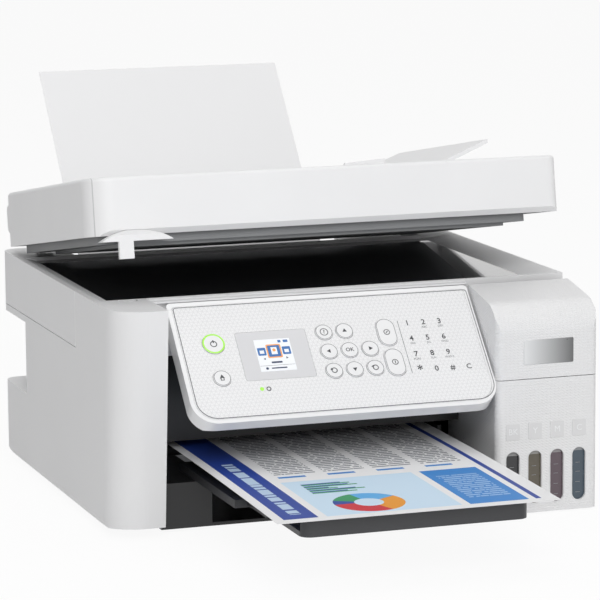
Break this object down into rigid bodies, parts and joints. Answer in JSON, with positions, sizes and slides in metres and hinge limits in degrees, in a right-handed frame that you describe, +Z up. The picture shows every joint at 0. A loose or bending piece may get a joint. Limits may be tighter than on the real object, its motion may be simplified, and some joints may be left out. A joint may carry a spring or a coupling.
{
  "type": "inkjet printer",
  "caption": "Multifunction inkjet printer with refillable ink tanks, lifting scanner and document feeder, tilting control panel, rear paper feed and sliding output tray.",
  "frame": {"origin": "on the floor under the middle of the closed body's width and depth", "axes": "+X to the printer's right as its user sees it, +Y to the rear, +Z up"},
  "size_m": [0.375, 0.6243, 0.3045],
  "materials": {
    "white_plastic": "fine matt",
    "gloss_white": "gloss",
    "pale_grey": "matt",
    "black_plastic": "satin",
    "dark_grey": "satin",
    "rubber": "matt",
    "steel": "rolled",
    "gear_plastic": "satin",
    "board_green": "satin",
    "glass_black": "polished",
    "scan_grey": "matt",
    "screen_dark": "polished",
    "key_grey": "satin",
    "tank_clear": "satin",
    "paper": "uncoated",
    "cap_black": "matt",
    "cap_yellow": "matt",
    "cap_magenta": "matt",
    "cap_cyan": "matt"
  },
  "bodies": {
    "body": {"base_tray": "black_plastic", "rubber_feet": "rubber", "outer_housing": "white_plastic", "front_beam": "white_plastic", "tank_housing": "white_plastic", "ink_tanks": "tank_clear", "exit_frame": "black_plastic", "platen": "black_plastic", "carriage_rail": "steel", "timing_belt": "rubber", "drive_motors": "steel", "capping_station": "black_plastic", "main_board": "board_green", "power_supply": "steel", "paper_feeder": "white_plastic", "paper_sheets": "paper"},
    "carriage": {"carriage": "black_plastic"},
    "scanner": {"scanner_case": "white_plastic", "scanner_glass": "glass_black"},
    "cover": {"document_cover": "white_plastic", "cover_frame": "pale_grey", "cover_grip": "white_plastic"},
    "panel": {"panel_case": "gloss_white", "panel_face": "gloss_white", "panel_screen": "screen_dark"},
    "scan_bar": {"scan_bar": "scan_grey"},
    "adf_hatch": {"adf_hatch": "white_plastic"},
    "adf_tray": {"adf_tray": "white_plastic"},
    "adf_guide": {"adf_guide": "white_plastic"},
    "adf_roller": {"adf_roller": "rubber"},
    "drive_pulley": {"drive_pulley": "gear_plastic"},
    "idler_pulley": {"idler_pulley": "gear_plastic"},
    "feed_roller": {"feed_roller": "rubber"},
    "exit_roller": {"exit_roller": "rubber"},
    "idler_gear": {"idler_gear": "gear_plastic"},
    "motor_pinion": {"motor_pinion": "gear_plastic"},
    "pickup_roller": {"pickup_roller": "rubber"},
    "left_edge_guide": {"left_edge_guide": "pale_grey"},
    "right_edge_guide": {"right_edge_guide": "pale_grey"},
    "paper_support": {"paper_support": "white_plastic"},
    "support_extender": {"support_extender": "white_plastic"},
    "output_tray": {"output_tray": "dark_grey"},
    "tray_extension": {"tray_extension": "dark_grey"},
    "tank_cover": {"tank_cover": "white_plastic"},
    "black_cap": {"black_cap": "cap_black"},
    "yellow_cap": {"yellow_cap": "cap_yellow"},
    "magenta_cap": {"magenta_cap": "cap_magenta"},
    "cyan_cap": {"cyan_cap": "cap_cyan"},
    "power_button": {"power_button": "key_grey"},
    "home_button": {"home_button": "key_grey"},
    "help_button": {"help_button": "key_grey"},
    "up_button": {"up_button": "key_grey"},
    "left_button": {"left_button": "key_grey"},
    "ok_button": {"ok_button": "key_grey"},
    "right_button": {"right_button": "key_grey"},
    "back_button": {"back_button": "key_grey"},
    "down_button": {"down_button": "key_grey"},
    "mode_button": {"mode_button": "key_grey"},
    "stop_button": {"stop_button": "key_grey"},
    "start_button": {"start_button": "key_grey"}
  },
  "joints": [
    {"name": "scanner_lift", "type": "hinge", "parent": "body", "child": "scanner", "pos_m": [0, 0.166, 0.134], "axis": [-1, 0, 0], "range_deg": [0, 15]},
    {"name": "scan_bar_slide", "type": "slide", "parent": "scanner", "child": "scan_bar", "axis": [1, 0, 0], "range_m": [0, 0.28]},
    {"name": "cover_hinge", "type": "hinge", "parent": "scanner", "child": "cover", "pos_m": [0, 0.141, 0.1765], "axis": [-1, 0, 0], "range_deg": [-9.6, 32]},
    {"name": "hatch_hinge", "type": "hinge", "parent": "cover", "child": "adf_hatch", "pos_m": [-0.171, 0.02858, 0.2374], "axis": [0, -0.986, 0.1668], "range_deg": [0, 70]},
    {"name": "adf_tray_hinge", "type": "hinge", "parent": "cover", "child": "adf_tray", "pos_m": [-0.054, 0.02737, 0.2302], "axis": [0, -0.986, 0.1668], "range_deg": [0, 45]},
    {"name": "adf_guide_slide", "type": "slide", "parent": "adf_tray", "child": "adf_guide", "axis": [0, -0.986, 0.1668], "range_m": [0, 0.12]},
    {"name": "adf_roller_spin", "type": "hinge", "parent": "cover", "child": "adf_roller", "pos_m": [-0.08, 0.02645, 0.22478], "axis": [0, -0.986, 0.1668], "continuous": true},
    {"name": "panel_hinge", "type": "hinge", "parent": "body", "child": "panel", "pos_m": [0, -0.1166, 0.15661], "axis": [-1, 0, 0], "range_deg": [-35, 0]},
    {"name": "power_press", "type": "slide", "parent": "panel", "child": "power_button", "axis": [0, 0.7314, -0.682], "range_m": [0, 0.0006], "stiffness_N_per_m": 2500},
    {"name": "home_press", "type": "slide", "parent": "panel", "child": "home_button", "axis": [0, 0.7314, -0.682], "range_m": [0, 0.0006], "stiffness_N_per_m": 2500},
    {"name": "help_press", "type": "slide", "parent": "panel", "child": "help_button", "axis": [0, 0.7314, -0.682], "range_m": [0, 0.0006], "stiffness_N_per_m": 2500},
    {"name": "up_press", "type": "slide", "parent": "panel", "child": "up_button", "axis": [0, 0.7314, -0.682], "range_m": [0, 0.0006], "stiffness_N_per_m": 2500},
    {"name": "left_press", "type": "slide", "parent": "panel", "child": "left_button", "axis": [0, 0.7314, -0.682], "range_m": [0, 0.0006], "stiffness_N_per_m": 2500},
    {"name": "ok_press", "type": "slide", "parent": "panel", "child": "ok_button", "axis": [0, 0.7314, -0.682], "range_m": [0, 0.0006], "stiffness_N_per_m": 2500},
    {"name": "right_press", "type": "slide", "parent": "panel", "child": "right_button", "axis": [0, 0.7314, -0.682], "range_m": [0, 0.0006], "stiffness_N_per_m": 2500},
    {"name": "back_press", "type": "slide", "parent": "panel", "child": "back_button", "axis": [0, 0.7314, -0.682], "range_m": [0, 0.0006], "stiffness_N_per_m": 2500},
    {"name": "down_press", "type": "slide", "parent": "panel", "child": "down_button", "axis": [0, 0.7314, -0.682], "range_m": [0, 0.0006], "stiffness_N_per_m": 2500},
    {"name": "mode_press", "type": "slide", "parent": "panel", "child": "mode_button", "axis": [0, 0.7314, -0.682], "range_m": [0, 0.0006], "stiffness_N_per_m": 2500},
    {"name": "stop_press", "type": "slide", "parent": "panel", "child": "stop_button", "axis": [0, 0.7314, -0.682], "range_m": [0, 0.0006], "stiffness_N_per_m": 2500},
    {"name": "start_press", "type": "slide", "parent": "panel", "child": "start_button", "axis": [0, 0.7314, -0.682], "range_m": [0, 0.0006], "stiffness_N_per_m": 2500},
    {"name": "output_tray_slide", "type": "slide", "parent": "body", "child": "output_tray", "axis": [0, 1, 0], "range_m": [0, 0.06]},
    {"name": "tray_extension_slide", "type": "slide", "parent": "output_tray", "child": "tray_extension", "axis": [0, 1, 0], "range_m": [0, 0.095]},
    {"name": "support_slide", "type": "slide", "parent": "body", "child": "paper_support", "axis": [0, -0.6401, -0.7683], "range_m": [0, 0.057]},
    {"name": "extender_slide", "type": "slide", "parent": "paper_support", "child": "support_extender", "axis": [0, -0.6401, -0.7683], "range_m": [0, 0.08]},
    {"name": "left_guide_slide", "type": "slide", "parent": "body", "child": "left_edge_guide", "axis": [1, 0, 0], "range_m": [-0.003, 0]},
    {"name": "right_guide_slide", "type": "slide", "parent": "body", "child": "right_edge_guide", "axis": [-1, 0, 0], "range_m": [-0.003, 0]},
    {"name": "carriage_slide", "type": "slide", "parent": "body", "child": "carriage", "axis": [-1, 0, 0], "range_m": [0, 0.25]},
    {"name": "drive_pulley_spin", "type": "hinge", "parent": "body", "child": "drive_pulley", "pos_m": [0.1635, 0.066, 0.1115], "axis": [0, 0, 1], "range_deg": [-2620, 10]},
    {"name": "idler_pulley_spin", "type": "hinge", "parent": "body", "child": "idler_pulley", "pos_m": [-0.1635, 0.066, 0.1115], "axis": [0, 0, 1], "range_deg": [-2620, 10]},
    {"name": "feed_roller_spin", "type": "hinge", "parent": "body", "child": "feed_roller", "pos_m": [-0.1655, 0.033, 0.05], "axis": [1, 0, 0], "continuous": true},
    {"name": "idler_gear_spin", "type": "hinge", "parent": "body", "child": "idler_gear", "pos_m": [-0.1655, -0.0225, 0.05], "axis": [1, 0, 0], "continuous": true},
    {"name": "exit_roller_spin", "type": "hinge", "parent": "body", "child": "exit_roller", "pos_m": [-0.1655, -0.072, 0.05], "axis": [1, 0, 0], "continuous": true},
    {"name": "motor_pinion_spin", "type": "hinge", "parent": "body", "child": "motor_pinion", "pos_m": [-0.1655, 0.05713, 0.07025], "axis": [1, 0, 0], "continuous": true},
    {"name": "pickup_roller_spin", "type": "hinge", "parent": "body", "child": "pickup_roller", "pos_m": [-0.02, 0.09852, 0.10743], "axis": [1, 0, 0], "continuous": true},
    {"name": "tank_cover_hinge", "type": "hinge", "parent": "body", "child": "tank_cover", "pos_m": [0.14625, -0.121, 0.16], "axis": [-1, 0, 0], "range_deg": [0, 85]},
    {"name": "black_cap_hinge", "type": "hinge", "parent": "body", "child": "black_cap", "pos_m": [0.1182, -0.1295, 0.1054], "axis": [-1, 0, 0], "range_deg": [0, 60]},
    {"name": "yellow_cap_hinge", "type": "hinge", "parent": "body", "child": "yellow_cap", "pos_m": [0.1362, -0.1295, 0.1054], "axis": [-1, 0, 0], "range_deg": [0, 60]},
    {"name": "magenta_cap_hinge", "type": "hinge", "parent": "body", "child": "magenta_cap", "pos_m": [0.1542, -0.1295, 0.1054], "axis": [-1, 0, 0], "range_deg": [0, 60]},
    {"name": "cyan_cap_hinge", "type": "hinge", "parent": "body", "child": "cyan_cap", "pos_m": [0.1722, -0.1295, 0.1054], "axis": [-1, 0, 0], "range_deg": [0, 60]}
  ],
  "couplings": [
    {"joint": "drive_pulley_spin", "follows": "carriage_slide", "rad_per_m": -181.82},
    {"joint": "idler_pulley_spin", "follows": "carriage_slide", "rad_per_m": -181.82},
    {"joint": "idler_gear_spin", "follows": "feed_roller_spin", "ratio": -0.6087},
    {"joint": "exit_roller_spin", "follows": "feed_roller_spin", "ratio": 1.4},
    {"joint": "motor_pinion_spin", "follows": "feed_roller_spin", "ratio": -2},
    {"joint": "right_guide_slide", "follows": "left_guide_slide", "ratio": 1}
  ]
}
